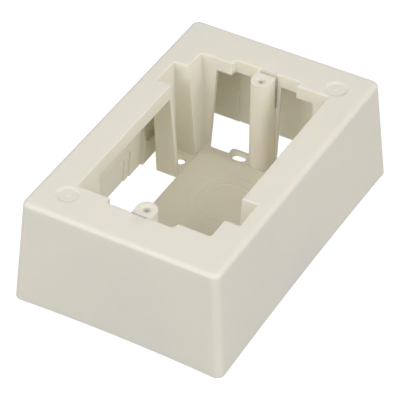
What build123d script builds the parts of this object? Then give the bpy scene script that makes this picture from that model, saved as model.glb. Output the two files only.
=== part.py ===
from build123d import *
import math
import os

# Surface mount box, one moulding: a drafted cover shell with a device tub hung in its front opening.
# X runs along the short side, Y along the long side, Z is up. The box lies on its open back, so z = 0 is
# the wall side and the front face is up. Everything repeats when turned half a turn about Z.

# Overall size of the shell
FRONT_W = 78.4              # front face, short side
FRONT_L = 123.2             # front face, long side
DEPTH = 43.7                # wall to front face
DRAFT_X = 3.45              # how far each long wall leans out over the full depth
DRAFT_Y = 3.35              # the same for each short wall
BOW_LONG = 0.7              # inward bow of a long wall at the middle of its rim
BOW_SHORT = 1.0             # inward bow of a short wall at the middle of its rim
BOW_TOP = 40.0              # height where the bow has faded out
CORNER_R = 3.0              # upright outer corners
FRONT_EDGE_R = 1.8          # rounding round the front face
PLATE_T = 2.0               # front plate
WALL_TOP_T = 2.0            # wall just under the front plate
RIM_T_LONG = 2.0            # wall at the rim, long side, before the bow
RIM_T_SHORT = 2.3           # wall at the rim, short side, before the bow
INNER_CORNER_R = 1.5        # upright inner corners

# Front opening and the tub that hangs from it
OPEN_HX = 26.8              # half width of the opening
OPEN_HY = 44.0              # half length at the corners
OPEN_HY_MID = 46.6          # half length at the middle, behind the posts
OPEN_MID_HX = 13.6          # half width of the longer middle part
TUB_LEAN_X = 3.3            # how far the tub sides come in at the wall
TUB_LEAN_Y = 1.9            # the same at the corners of the short sides
TUB_LEAN_MID = 1.0          # the same at the middle of the short sides
TUB_T = 1.8                 # tub wall
TUB_CORNER_R = 0.9          # inner corners of the tub
TUB_STEP_R = 1.2            # outer corners of the middle part
OPEN_EDGE_R = 0.45          # rounding where the opening meets the front face
SKIRT_Z = 38.2              # lower edge of the skirt between the columns

# Screwdriver channel down to each wall hole, at +X -Y, repeated at -X +Y
CHAN_OUT = 6.0              # depth of the channel beyond the opening edge
CHAN_LEAN = 0.45            # how far the outer channel face comes in at the wall
CHAN_LEAN_Y0 = 1.3          # the same for the face nearer the middle
CHAN_END_LEAN = 2.4         # how far the free end of the wall nearer the middle comes in
CHAN_Y0 = 21.7              # channel face nearer the middle
CHAN_Y1 = 34.35             # channel face nearer the corner
CHAN_T = 1.75               # channel wall

# Windows between the columns, front plate end and wall end
WIN_END_X0 = (5.8, 4.5)     # edge by the post
WIN_END_X1 = (20.6, 21.5)   # edge by the corner column, at +X of +Y
WIN_END_X2 = (20.1, 22.4)   # edge by the corner column, at -X of +Y
WIN_SIDE_Y1 = (30.4, 31.6)  # edge by the corner column
CORE_IN = 8.0               # how far window and channel cores reach in from the opening edge
CORE_OUT = 10.0             # how far window cores reach out from it

# Floor plate
FLOOR_T = 1.65              # ledge round the floor and floor of the channels
FLOOR_RAISE = 0.95          # raised middle panel above the ledge
PANEL_HY = 38.4             # half length of the raised panel, which is as wide as the tub
PANEL_BEVEL = 0.55          # bevel round the raised panel
RING_Y = 15.1               # centre of the cable knock-out
RING_R = (10.7, 14.4)       # radii of the knock-out ridges
RING_H = (0.25, 0.12)       # ridge heights
RING_W = 1.2                # ridge width at its foot

# Wall fixing holes
FIX_X = 27.7                # round hole
FIX_Y = 29.6
FIX_D = 3.8
FIX_SINK_D = 5.6            # countersink
FIX_SINK_DEPTH = 0.95
SLOT_X = 9.0                # slotted hole
SLOT_Y = 42.2
SLOT_L = 5.8
SLOT_D = 3.7
SLOT_SINK = 0.55            # extra width of the countersink on each side
SLOT_SINK_DEPTH = 0.6

# Device screw posts, at +Y, repeated at -Y
SCREW_SPACING = 83.34       # standard distance between the two device screws
POST_R = 3.9                # rounded end and half width of the post at its top
POST_DRAFT = 0.2            # how much wider it is at the wall
POST_TOP = 42.6
POST_HOLE_D = 2.6           # pilot hole for the device screw
POST_HOLE_DEPTH = 22.0
POST_DISH_D = 5.4           # dished lead-in
POST_DISH_DEPTH = 0.4
SLIT_Z = 28.0               # lower end of the slit behind the post
SLIT_Y = (45.6, 46.9)       # post side and far side of the slit
SLIT_CLOSED_X = -3.0        # the slit is open at the other side of the post
SCOOP_HX = 3.0              # relief in the front face beyond the post
SCOOP_END = 52.3
SCOOP_DEPTH = 0.4

# Gate wells in the front face, at +X +Y, repeated at -X -Y
GATE_X = 27.2
GATE_Y = 49.7
GATE_R = 4.5                # at the front face
GATE_FLOOR_R = 3.4
GATE_DEPTH = 0.5
GATE_PIP_R = 0.5
GATE_PIP_H = 0.3

# Raceway breakouts on the inner faces of the four walls
# half width, height above the wall side, thinning of the panel, depth of the score round it
BREAKOUTS_LONG = ((9.0, 11.6, 0.7, 0.85), (12.6, 13.6, 0.3, 0.6), (20.6, 23.0, 0.0, 0.35))
BREAKOUTS_SHORT = ((19.6, 28.0, 0.25, 0.5),)
BREAKOUT_R = 2.2            # rounded upper corners
SCORE_W = 0.8               # width of the score

# Low pad beside the breakout of the wall at -X, repeated at +X
PAD_Y = (21.3, 31.5)
PAD_H = 11.0
PAD_RIM_OUT = 1.1           # how far the pad stands off the wall face at the rim
PAD_TOP_OUT = 1.6           # the same at its upper edge
PAD_RIB_W = 1.6             # short rib that fades into the wall above the pad
PAD_RIB_TOP = 16.5

BASE_HX = FRONT_W / 2 + DRAFT_X
BASE_HY = FRONT_L / 2 + DRAFT_Y
POST_Y = SCREW_SPACING / 2
INNER_TOP_HX = FRONT_W / 2 + DRAFT_X * PLATE_T / DEPTH - WALL_TOP_T
INNER_TOP_HY = FRONT_L / 2 + DRAFT_Y * PLATE_T / DEPTH - WALL_TOP_T
FLOOR_TOP = FLOOR_T + FLOOR_RAISE


def twin(shape):
    """The same shape turned half a turn about Z."""
    return Rot(0, 0, 180) * shape


def prism(lower, upper):
    """Solid with flat sides between two rectangles given as (z, x0, x1, y0, y1)."""
    z0, ax0, ax1, ay0, ay1 = lower
    z1, bx0, bx1, by0, by1 = upper
    block = Solid.make_wedge(ax1 - ax0, z1 - z0, ay1 - ay0, bx0 - ax0, ay1 - by1, bx1 - ax0, ay1 - by0)
    return Pos(ax0, ay1, z0) * Rot(90, 0, 0) * block


def rounded(block, radius, wanted=None):
    """The block with its upright edges rounded, or only those that the test picks."""
    edges = [e for e in block.edges() if abs((e @ 1 - e @ 0).Z) > 0.1]
    if wanted:
        edges = [e for e in edges if wanted(e @ 0.5)]
    return fillet(edges, radius)


def frustum(z0, hx0, hy0, z1, hx1, hy1, radius):
    """Centred block with leaning flat sides and rounded upright edges."""
    return rounded(prism((z0, -hx0, hx0, -hy0, hy0), (z1, -hx1, hx1, -hy1, hy1)), radius)


def bow_cut(distance, half_length, draft, bow):
    """Shallow hollow in the outer face of the wall at +X, deepest at the middle of the rim."""
    y = half_length - CORNER_R
    with BuildSketch() as sk:
        with BuildLine():
            ThreePointArc((distance, -y), (distance - bow, 0), (distance, y))
            Polyline((distance, y), (distance + 5, y), (distance + 5, -y), (distance, -y))
        make_face()
    way = Vector(bow - draft * BOW_TOP / DEPTH, 0, BOW_TOP)
    return extrude(Pos(way * -0.1) * sk.sketch, amount=way.length * 1.1, dir=way)


def shell():
    """Drafted cover, open at the wall side."""
    outer = frustum(0, BASE_HX, BASE_HY, DEPTH, FRONT_W / 2, FRONT_L / 2, CORNER_R)
    front = outer.faces().sort_by(Axis.Z)[-1]
    outer = fillet(front.edges(), FRONT_EDGE_R)
    long_cut = bow_cut(BASE_HX, BASE_HY, DRAFT_X, BOW_LONG)
    short_cut = Rot(0, 0, 90) * bow_cut(BASE_HY, BASE_HX, DRAFT_Y, BOW_SHORT)
    inner = frustum(0, BASE_HX - RIM_T_LONG, BASE_HY - RIM_T_SHORT,
                    DEPTH - PLATE_T, INNER_TOP_HX, INNER_TOP_HY, INNER_CORNER_R)
    for cut in (long_cut, short_cut):
        outer = outer - cut - twin(cut)
    return outer - inner


def tub_block(grow, z0, z1):
    """Tub without the channels between two heights, grown outward by the given amount."""
    main = []
    middle = []
    for z in (z0, z1):
        down = 1 - z / DEPTH
        hx = OPEN_HX - TUB_LEAN_X * down + grow
        hy = OPEN_HY - TUB_LEAN_Y * down + grow
        hm = OPEN_HY_MID - TUB_LEAN_MID * down + grow
        main += [z, hx, hy]
        middle += [z, OPEN_MID_HX + grow, hm]
    return frustum(*main, TUB_CORNER_R + grow) + frustum(*middle, TUB_STEP_R)


def channel_block(grow, z0, z1):
    """Channel at +X -Y between two heights, grown outward by the given amount."""
    ends = []
    for z in (z0, z1):
        down = 1 - z / DEPTH
        x1 = OPEN_HX + CHAN_OUT - CHAN_LEAN * down + grow
        y0 = -CHAN_Y1 - grow
        y1 = -CHAN_Y0 - CHAN_LEAN_Y0 * down + grow
        ends.append((z, OPEN_HX - CORE_IN, x1, y0, y1))
    return rounded(prism(*ends), 0.5 + grow * 0.5, lambda p: p.X > OPEN_HX)


def windows():
    """Cores that leave the tub open between the columns, for one half of the box."""
    zt, zb = SKIRT_Z, -1.0
    x_in, x_out = OPEN_HX - CORE_IN, OPEN_HX + CORE_OUT
    y_in, y_out = OPEN_HY - CORE_IN, OPEN_HY_MID + CORE_OUT
    end_right = prism((zb, WIN_END_X0[1], WIN_END_X1[1], y_in, y_out),
                      (zt, WIN_END_X0[0], WIN_END_X1[0], y_in, y_out))
    end_left = prism((zb, -WIN_END_X2[1], -WIN_END_X0[1], y_in, y_out),
                     (zt, -WIN_END_X2[0], -WIN_END_X0[0], y_in, y_out))
    y_zb = -CHAN_Y0 - CHAN_LEAN_Y0 * (1 - zb / DEPTH) + CHAN_T
    y_zt = -CHAN_Y0 - CHAN_LEAN_Y0 * (1 - zt / DEPTH) + CHAN_T
    side = prism((zb, x_in, x_out, y_zb, WIN_SIDE_Y1[1]), (zt, x_in, x_out, y_zt, WIN_SIDE_Y1[0]))
    x_foot = OPEN_HX - CHAN_END_LEAN * (1 - FLOOR_T / DEPTH)
    x_top = OPEN_HX - CHAN_END_LEAN * (1 - zt / DEPTH)
    y_low = -CHAN_Y0 - CHAN_LEAN_Y0 - 1.0
    end = prism((FLOOR_T, x_in, x_foot, y_low, y_zb + 1.0), (zt, x_in, x_top, y_low, y_zt + 1.0))
    return [end_right, end_left, side, end]


def tub():
    """Skirt, columns and channel walls, still filled where the opening will be."""
    body = tub_block(TUB_T, 0, DEPTH - PLATE_T / 2)
    chan = channel_block(CHAN_T, 0, DEPTH - PLATE_T / 2)
    body = body + chan + twin(chan)
    cores = windows()
    for core in cores:
        body = body - core - twin(core)
    return body


def floor_plate():
    """Thin floor at the wall side with a raised middle panel."""
    plate = tub_block(0, 0, FLOOR_T)
    chan = channel_block(0, 0, FLOOR_T)
    plate = plate + chan + twin(chan)
    ends = []
    for z in (FLOOR_T, FLOOR_TOP):
        hx = OPEN_HX - TUB_LEAN_X * (1 - z / DEPTH)
        ends.append((z, -hx, hx, -PANEL_HY, PANEL_HY))
    panel = prism(*ends)
    panel = chamfer(panel.faces().sort_by(Axis.Z)[-1].edges(), PANEL_BEVEL)
    plate = plate + panel
    for r, height in zip(RING_R, RING_H):
        with BuildSketch(Plane.XZ) as profile:
            with BuildLine():
                Polyline((r - RING_W / 2, FLOOR_TOP), (r - RING_W / 2, FLOOR_T), (r + RING_W / 2, FLOOR_T),
                         (r + RING_W / 2, FLOOR_TOP), (r, FLOOR_TOP + height), close=True)
            make_face()
        ridge = Pos(0, RING_Y) * revolve(profile.sketch, Axis.Z)
        plate = plate + ridge + twin(ridge)
    return plate


def post():
    """Device screw post at +Y, joined to the strip of tub wall behind it."""
    back = OPEN_HY_MID + TUB_T / 2
    r = POST_R + POST_DRAFT
    plan = Pos(0, POST_Y) * Circle(r) + Pos(0, (POST_Y + back) / 2) * Rectangle(2 * r, back - POST_Y)
    return extrude(plan, POST_TOP, taper=math.degrees(math.atan(POST_DRAFT / POST_TOP)))


def post_cuts():
    """Hole, slit and front face relief of the post at +Y."""
    hole = Pos(0, POST_Y, POST_TOP - POST_HOLE_DEPTH) * extrude(Circle(POST_HOLE_D / 2), POST_HOLE_DEPTH + 2)
    dish = Pos(0, POST_Y, POST_TOP - POST_DISH_DEPTH / 2) * Cone(
        POST_HOLE_D / 2, POST_DISH_D / 2, POST_DISH_DEPTH)
    open_x = POST_R + POST_DRAFT
    slit = prism((SLIT_Z, SLIT_CLOSED_X, open_x, SLIT_Y[0], SLIT_Y[1]),
                 (DEPTH + 1, SLIT_CLOSED_X, open_x, SLIT_Y[0], SLIT_Y[1]))
    with BuildSketch(Plane.YZ) as wedge:
        with BuildLine():
            Polyline((OPEN_HY_MID - 1.0, DEPTH - SCOOP_DEPTH), (OPEN_HY_MID, DEPTH - SCOOP_DEPTH),
                     (SCOOP_END, DEPTH), (SCOOP_END, DEPTH + 1), (OPEN_HY_MID - 1.0, DEPTH + 1), close=True)
        make_face()
    ramp = extrude(wedge.sketch, SCOOP_HX + 1, both=True)
    y0 = OPEN_HY_MID - 1.0
    y1 = SCOOP_END - SCOOP_HX
    plan = Pos(0, (y0 + y1) / 2) * Rectangle(2 * SCOOP_HX, y1 - y0) + Pos(0, y1) * Circle(SCOOP_HX)
    mask = Pos(0, 0, DEPTH - 2) * extrude(plan, 4)
    return [hole, dish, slit, ramp & mask]


def gate_cut():
    """Shallow round well with sloped sides and a small pip."""
    base = Pos(GATE_X, GATE_Y, DEPTH - GATE_DEPTH)
    slope = (GATE_R - GATE_FLOOR_R) / GATE_DEPTH
    well = Pos(0, 0, GATE_DEPTH) * Cone(GATE_FLOOR_R, GATE_R + slope * GATE_DEPTH, 2 * GATE_DEPTH)
    return base * (well - extrude(Circle(GATE_PIP_R), GATE_PIP_H))


def fixing_cuts():
    """Round hole in the channel floor and slotted hole beside the post, for one half of the box."""
    hole = Pos(FIX_X, -FIX_Y, -1) * extrude(Circle(FIX_D / 2), FLOOR_TOP + 2)
    slope = (FIX_SINK_D - FIX_D) / 2 / FIX_SINK_DEPTH
    hole = hole + Pos(FIX_X, -FIX_Y, FLOOR_T) * Cone(
        FIX_D / 2, FIX_SINK_D / 2 + slope * FIX_SINK_DEPTH, 2 * FIX_SINK_DEPTH)
    slot = Pos(-SLOT_X, SLOT_Y, -1) * extrude(SlotOverall(SLOT_L, SLOT_D), FLOOR_TOP + 2)
    mouth = SlotOverall(SLOT_L + 2 * SLOT_SINK, SLOT_D + 2 * SLOT_SINK)
    taper = math.degrees(math.atan(SLOT_SINK / SLOT_SINK_DEPTH))
    slot = slot + Pos(-SLOT_X, SLOT_Y, FLOOR_T) * extrude(mouth, -SLOT_SINK_DEPTH, taper=taper)
    return [hole, slot]


def arch(half_w, height, grow):
    """Breakout outline with rounded upper corners, run out below the rim."""
    w = half_w + grow
    with BuildSketch() as sk:
        with BuildLine():
            Polyline((-w, -2), (w, -2), (w, height + grow), (-w, height + grow), close=True)
        make_face()
        fillet([v for v in sk.vertices() if v.Y > 0], BREAKOUT_R + grow)
    return sk.sketch


def breakout_cuts(breakouts, base_half, top_half):
    """Thinned panels and scores for the wall at -X whose inner face runs between the two distances."""
    lean = math.atan2(base_half - top_half, DEPTH - PLATE_T)
    into_wall = (-math.cos(lean), 0, math.sin(lean))
    plane = Plane(origin=(-base_half, 0, 0), x_dir=(0, -1, 0), z_dir=into_wall).offset(-1)
    cuts = []
    for half_w, height, thin, score in breakouts:
        if thin > 0:
            cuts.append(plane * extrude(arch(half_w, height, 0), 1 + thin))
        line = arch(half_w, height, SCORE_W / 2) - arch(half_w, height, -SCORE_W / 2)
        cuts.append(plane * extrude(line, 1 + score))
    return cuts


def pad():
    """Low pad on the inner face of the wall at -X, with a short rib above its end nearer the middle."""
    rim_x = -BASE_HX + RIM_T_LONG
    lean = (rim_x + INNER_TOP_HX) / -(DEPTH - PLATE_T)
    top_x = rim_x + lean * PAD_H
    end_x = rim_x + lean * PAD_RIB_TOP
    block = prism((0, rim_x - 0.3, rim_x + PAD_RIM_OUT, PAD_Y[0], PAD_Y[1]),
                  (PAD_H, top_x - 0.3, top_x + PAD_TOP_OUT, PAD_Y[0], PAD_Y[1]))
    y1 = PAD_Y[0] + PAD_RIB_W
    ridge = prism((PAD_H, top_x - 0.3, top_x + PAD_TOP_OUT, PAD_Y[0], y1),
                  (PAD_RIB_TOP, end_x - 0.3, end_x + 0.1, PAD_Y[0], y1))
    return block + ridge


def build():
    """The whole moulding."""
    body = shell() + tub()
    opening = tub_block(0, FLOOR_T, DEPTH + 1)
    channel = channel_block(0, FLOOR_T, DEPTH + 1)
    body = body - opening - channel - twin(channel)
    mouth = [e for e in body.edges().filter_by_position(Axis.Z, DEPTH - 0.01, DEPTH + 0.01)
             if abs((e @ 0.5).X) < OPEN_HX + CHAN_OUT + 1 and abs((e @ 0.5).Y) < OPEN_HY_MID + 1]
    body = fillet(mouth, OPEN_EDGE_R)
    body = body + floor_plate() + post() + twin(post()) + pad() + twin(pad())
    cuts = post_cuts() + [gate_cut()] + fixing_cuts()
    cuts += breakout_cuts(BREAKOUTS_LONG, BASE_HX - RIM_T_LONG, INNER_TOP_HX)
    short = breakout_cuts(BREAKOUTS_SHORT, BASE_HY - RIM_T_SHORT, INNER_TOP_HY)
    cuts += [Rot(0, 0, -90) * c for c in short]
    for cut in cuts:
        body = body - cut - twin(cut)
    return body


os.makedirs("parts", exist_ok=True)
part = build()
export_step(part, "parts/surface_mount_box.step")
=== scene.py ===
import bpy
from mathutils import Matrix, Vector


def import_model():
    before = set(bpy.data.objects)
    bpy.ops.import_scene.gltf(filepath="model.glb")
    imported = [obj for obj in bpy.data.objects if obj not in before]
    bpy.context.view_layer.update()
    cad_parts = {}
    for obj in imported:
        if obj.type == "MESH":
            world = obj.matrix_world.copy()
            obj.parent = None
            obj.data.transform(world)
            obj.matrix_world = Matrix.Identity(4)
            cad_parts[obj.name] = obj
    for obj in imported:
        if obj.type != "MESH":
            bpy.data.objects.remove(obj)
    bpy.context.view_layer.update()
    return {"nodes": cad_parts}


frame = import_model()

# Camera: place and aim in the part's frame, in metres
CAM_PLACE = (0.320562, -0.572389, 0.583769)
CAM_RIGHT = (0.869863, 0.493287, 0.002597)
CAM_UP = (-0.324742, 0.568671, 0.755749)
CAM_LENS = 213.48           # on a 36 mm wide sensor

# Ivory plastic
IVORY = (0.955, 0.922, 0.806)
DRIFT = (0.985, 0.982, 0.972)   # how much darker the tone gets where it drifts
ROUGHNESS = 0.36
SCATTER = 0.003                 # how far light spreads inside the plastic, in metres
GRAIN_DEPTH = 0.00005

# Studio light: tints of the lamps and of the shade under the box, the even light from above and below,
# and the lamps with place, size and power
LIGHT_TINT = (1.0, 0.965, 0.965)
SHADE_TINT = (1.0, 0.95, 0.80)
SKY_ABOVE = 0.43
SKY_BELOW = 0.34
HORIZON = 0.15              # half width of the blend between the two
FLOOR_GLOW = 0.98
SHADE_GLOW = 0.24
SHADE_SIZE = (0.083, 0.127)
LAMPS = {
    "key_left": ((-0.78, -0.90, 0.90), 0.45, 2.1),
    "key_front": ((-0.20, -1.20, 0.85), 0.50, 3.4),
    "key_low": ((-0.30, -0.85, 0.42), 0.40, 0.75),
    "fill_high": ((1.20, -0.16, 1.00), 0.90, 5.5),
    "fill_low": ((1.35, 0.10, 0.60), 0.60, 3.4),
    "overhead": ((0.0, -0.45, 0.75), 0.50, 0.4),
}


def ivory_material():
    """Satin moulded plastic with a very fine grain and a slight tone drift."""
    mat = bpy.data.materials.new("ivory_moulding")
    mat.use_nodes = True
    tree = mat.node_tree
    tree.nodes.clear()
    out = tree.nodes.new("ShaderNodeOutputMaterial")
    shader = tree.nodes.new("ShaderNodeBsdfPrincipled")
    shader.inputs["Base Color"].default_value = (*IVORY, 1)
    shader.inputs["Roughness"].default_value = ROUGHNESS
    shader.inputs["IOR"].default_value = 1.46
    shader.inputs["Subsurface Weight"].default_value = 0.6
    shader.inputs["Subsurface Radius"].default_value = (1.0, 0.8, 0.55)
    shader.inputs["Subsurface Scale"].default_value = SCATTER
    tree.links.new(shader.outputs[0], out.inputs[0])

    coords = tree.nodes.new("ShaderNodeTexCoord")
    drift = tree.nodes.new("ShaderNodeTexNoise")
    drift.inputs["Scale"].default_value = 9.0
    drift.inputs["Detail"].default_value = 2.0
    tree.links.new(coords.outputs["Object"], drift.inputs["Vector"])
    tone = tree.nodes.new("ShaderNodeMix")
    tone.data_type = "RGBA"
    tone.inputs["A"].default_value = (*[full * part for full, part in zip(IVORY, DRIFT)], 1)
    tone.inputs["B"].default_value = (*IVORY, 1)
    tree.links.new(drift.outputs["Fac"], tone.inputs["Factor"])
    tree.links.new(tone.outputs["Result"], shader.inputs["Base Color"])

    grain = tree.nodes.new("ShaderNodeTexNoise")
    grain.inputs["Scale"].default_value = 1400.0
    grain.inputs["Detail"].default_value = 3.0
    tree.links.new(coords.outputs["Object"], grain.inputs["Vector"])
    bump = tree.nodes.new("ShaderNodeBump")
    bump.inputs["Strength"].default_value = 0.05
    bump.inputs["Distance"].default_value = GRAIN_DEPTH
    tree.links.new(grain.outputs["Fac"], bump.inputs["Height"])
    tree.links.new(bump.outputs["Normal"], shader.inputs["Normal"])
    return mat


def white_floor():
    """Plain pale floor under the part, lit evenly enough to read as a studio sweep."""
    bpy.ops.mesh.primitive_plane_add(size=6, location=(0, 0, -0.0002))
    floor = bpy.context.object
    floor.name = "floor"
    mat = bpy.data.materials.new("studio_floor")
    mat.use_nodes = True
    tree = mat.node_tree
    shader = tree.nodes["Principled BSDF"]
    shader.inputs["Base Color"].default_value = (0.2, 0.2, 0.2, 1)
    shader.inputs["Roughness"].default_value = 0.9
    shader.inputs["Emission Color"].default_value = (1, 1, 1, 1)
    shader.inputs["Emission Strength"].default_value = FLOOR_GLOW
    floor.data.materials.append(mat)
    floor.visible_diffuse = False
    floor.visible_glossy = False
    floor.visible_shadow = False


def shade_card():
    """Card under the box that the camera doesn't see, for the box's own shade on what it stands on."""
    bpy.ops.mesh.primitive_plane_add(size=1, location=(0, 0, -0.0001))
    card = bpy.context.object
    card.name = "shade_card"
    card.scale = (*SHADE_SIZE, 1)
    card.visible_camera = False
    mat = bpy.data.materials.new("card")
    mat.use_nodes = True
    shader = mat.node_tree.nodes["Principled BSDF"]
    shader.inputs["Base Color"].default_value = (0.6, 0.6, 0.6, 1)
    shader.inputs["Emission Color"].default_value = (*SHADE_TINT, 1)
    shader.inputs["Emission Strength"].default_value = SHADE_GLOW
    card.data.materials.append(mat)


def area_light(name, place, size, power):
    """Square soft light that faces the middle of the box."""
    data = bpy.data.lights.new(name, "AREA")
    data.shape = "SQUARE"
    data.size = size
    data.energy = power
    data.color = LIGHT_TINT
    lamp = bpy.data.objects.new(name, data)
    lamp.location = place
    aim = Vector((0, 0, 0.02)) - Vector(place)
    lamp.rotation_euler = aim.to_track_quat("-Z", "Y").to_euler()
    bpy.context.scene.collection.objects.link(lamp)


def camera():
    """Camera at the photographed angle."""
    data = bpy.data.cameras.new("camera")
    data.sensor_fit = "HORIZONTAL"
    data.sensor_width = 36
    data.lens = CAM_LENS
    data.clip_end = 20
    cam = bpy.data.objects.new("camera", data)
    right, up = Vector(CAM_RIGHT), Vector(CAM_UP)
    back = right.cross(up)
    turn = Matrix((right, up, back)).transposed().to_4x4()
    cam.matrix_world = Matrix.Translation(CAM_PLACE) @ turn
    bpy.context.scene.collection.objects.link(cam)
    bpy.context.scene.camera = cam


def world():
    """Even studio light, a little weaker from below the horizon."""
    sky = bpy.data.worlds.new("studio")
    sky.use_nodes = True
    tree = sky.node_tree
    back = tree.nodes["Background"]
    back.inputs["Color"].default_value = (*LIGHT_TINT, 1)
    coords = tree.nodes.new("ShaderNodeTexCoord")
    split = tree.nodes.new("ShaderNodeSeparateXYZ")
    blend = tree.nodes.new("ShaderNodeMapRange")
    blend.inputs["From Min"].default_value = -HORIZON
    blend.inputs["From Max"].default_value = HORIZON
    blend.inputs["To Min"].default_value = SKY_BELOW
    blend.inputs["To Max"].default_value = SKY_ABOVE
    tree.links.new(coords.outputs["Generated"], split.inputs[0])
    tree.links.new(split.outputs["Z"], blend.inputs["Value"])
    tree.links.new(blend.outputs["Result"], back.inputs["Strength"])
    bpy.context.scene.world = sky


camera()
world()
white_floor()
shade_card()
for name, (place, size, power) in LAMPS.items():
    area_light(name, place, size, power)
bpy.context.scene.view_settings.view_transform = "Standard"

ivory = ivory_material()
for cad in frame["nodes"].values():
    for place in cad.material_slots:
        place.material = ivory
